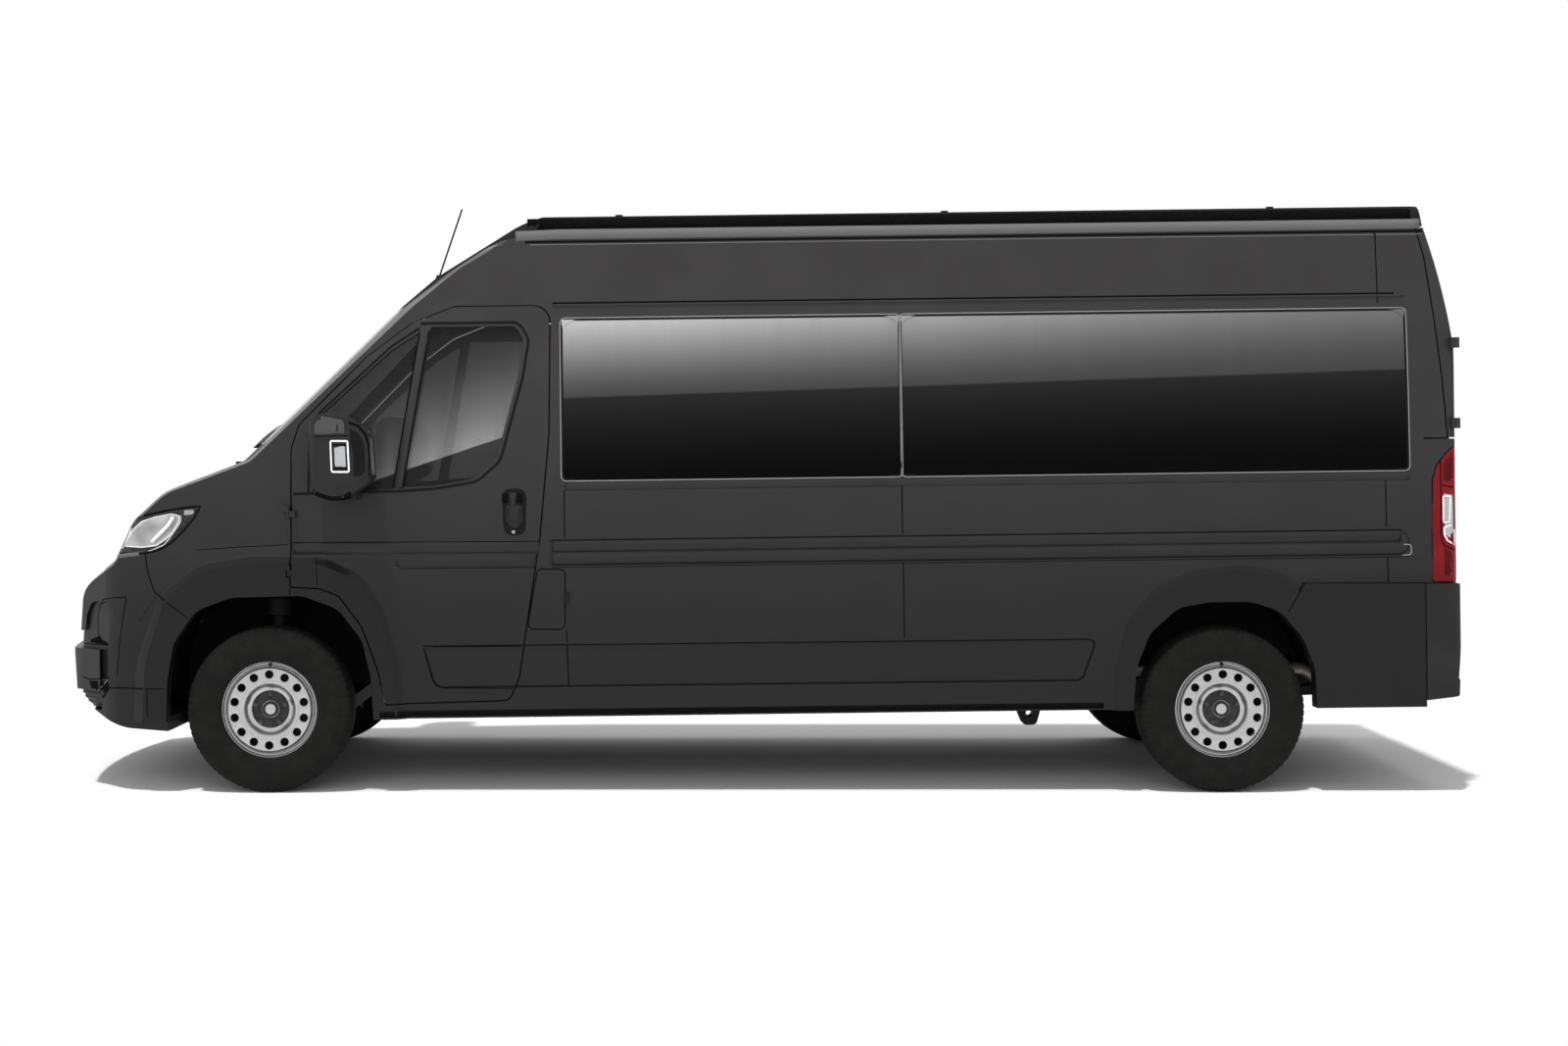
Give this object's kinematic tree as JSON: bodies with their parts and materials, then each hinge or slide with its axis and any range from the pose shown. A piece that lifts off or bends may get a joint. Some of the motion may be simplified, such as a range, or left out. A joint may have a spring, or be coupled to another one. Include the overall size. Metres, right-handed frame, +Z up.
{
  "type": "minibus",
  "caption": "Long high-roof minibus with hinged cab doors, rear doors and bonnet, fixed sliding door, steered front wheels and rows of seats.",
  "frame": {"origin": "on the ground under the middle of the vehicle", "axes": "+X to the rear, +Y to the right-hand side, +Z up; the body stands 0.72 degrees nose down on level wheels"},
  "size_m": [5.999, 2.504, 2.5451],
  "materials": {
    "paint": "dark anthracite metallic paint, clear coat",
    "glass_dark": "dark tinted glass",
    "glass_clear": "lightly tinted clear glass",
    "lamp": "clear lamp cover",
    "lamp_red": "red and clear lamp cover",
    "black_plastic": "grained black plastic",
    "interior_plastic": "dark grey moulded plastic",
    "fabric": "dark woven seat cloth",
    "tyre": "tyre rubber",
    "rim": "silver painted steel",
    "chassis": "black chassis paint",
    "steel": "bare steel",
    "cast": "cast iron",
    "mirror_shell": "dark moulded shell"
  },
  "bodies": {
    "root": {"floor": "interior_plastic", "side_wall_left": "paint", "side_wall_right": "paint", "sliding_door": "paint", "roof": "paint", "windscreen": "glass_clear", "side_glass": "glass_dark", "front_fenders": "paint", "headlamps": "lamp", "front_bumper": "paint", "grille": "black_plastic", "cowl": "black_plastic", "rear_bumper": "paint", "tail_lamps": "lamp_red", "wheel_housings": "black_plastic", "bulkhead": "chassis", "dashboard": "interior_plastic", "steering_wheel": "interior_plastic", "seat_frames": "interior_plastic", "seat_cushions": "fabric", "seat_backs": "fabric", "underframe": "chassis", "rear_axle": "chassis", "fuel_tank": "black_plastic", "exhaust": "steel", "spare_wheel": "tyre", "engine_block": "cast", "antenna": "black_plastic", "wipers": "black_plastic"},
    "cab_door_left": {"cab_door_left": "paint", "cab_glass_left": "glass_dark", "mirror_left": "mirror_shell"},
    "cab_door_right": {"cab_door_right": "paint", "cab_glass_right": "glass_dark", "mirror_right": "mirror_shell"},
    "rear_door_left": {"rear_door_left": "paint", "rear_glass_left": "glass_dark"},
    "rear_door_right": {"rear_door_right": "paint", "rear_glass_right": "glass_dark"},
    "bonnet": {"bonnet": "paint"},
    "fuel_flap": {"fuel_flap": "paint"},
    "knuckle_left": {"knuckle_left": "cast"},
    "knuckle_right": {"knuckle_right": "cast"},
    "wheel_front_left": {"rim_front_left": "rim", "tyre_front_left": "tyre"},
    "wheel_front_right": {"rim_front_right": "rim", "tyre_front_right": "tyre"},
    "wheel_rear_left": {"rim_rear_left": "rim", "tyre_rear_left": "tyre"},
    "wheel_rear_right": {"rim_rear_right": "rim", "tyre_rear_right": "tyre"}
  },
  "joints": [
    {"name": "steer_left", "type": "hinge", "parent": "root", "child": "knuckle_left", "pos_m": [-2.051, -0.805, 0.235], "axis": [0, 0.1478, 0.989], "range_deg": [-35, 35]},
    {"name": "steer_right", "type": "hinge", "parent": "root", "child": "knuckle_right", "pos_m": [-2.051, 0.805, 0.235], "axis": [0, -0.1478, 0.989], "range_deg": [-35, 35]},
    {"name": "roll_front_left", "type": "hinge", "parent": "knuckle_left", "child": "wheel_front_left", "pos_m": [-2.051, -0.905, 0.35], "axis": [0, 1, 0], "continuous": true},
    {"name": "roll_front_right", "type": "hinge", "parent": "knuckle_right", "child": "wheel_front_right", "pos_m": [-2.051, 0.905, 0.35], "axis": [0, 1, 0], "continuous": true},
    {"name": "roll_rear_left", "type": "hinge", "parent": "root", "child": "wheel_rear_left", "pos_m": [1.984, -0.895, 0.35], "axis": [0, 1, 0], "continuous": true},
    {"name": "roll_rear_right", "type": "hinge", "parent": "root", "child": "wheel_rear_right", "pos_m": [1.984, 0.895, 0.35], "axis": [0, 1, 0], "continuous": true},
    {"name": "open_cab_door_left", "type": "hinge", "parent": "root", "child": "cab_door_left", "pos_m": [-1.96769, -1.029, 1.20111], "axis": [0.0126, 0, -0.9999], "range_deg": [0, 70]},
    {"name": "open_cab_door_right", "type": "hinge", "parent": "root", "child": "cab_door_right", "pos_m": [-1.96769, 1.029, 1.20111], "axis": [-0.0126, 0, 0.9999], "range_deg": [0, 70]},
    {"name": "open_rear_door_left", "type": "hinge", "parent": "root", "child": "rear_door_left", "pos_m": [2.97015, -1.013, 1.56319], "axis": [0.0126, 0, -0.9999], "range_deg": [0, 180]},
    {"name": "open_rear_door_right", "type": "hinge", "parent": "root", "child": "rear_door_right", "pos_m": [2.97015, 1.013, 1.56319], "axis": [-0.0126, 0, 0.9999], "range_deg": [0, 180]},
    {"name": "open_bonnet", "type": "hinge", "parent": "root", "child": "bonnet", "pos_m": [-2.17624, 0, 1.40251], "axis": [0, 1, 0], "range_deg": [0, 55]},
    {"name": "open_fuel_flap", "type": "hinge", "parent": "root", "child": "fuel_flap", "pos_m": [-0.79275, -1.009, 0.81585], "axis": [-0.0126, 0, 0.9999], "range_deg": [0, 85]}
  ],
  "couplings": [
    {"joint": "steer_right", "follows": "steer_left", "ratio": 1}
  ]
}
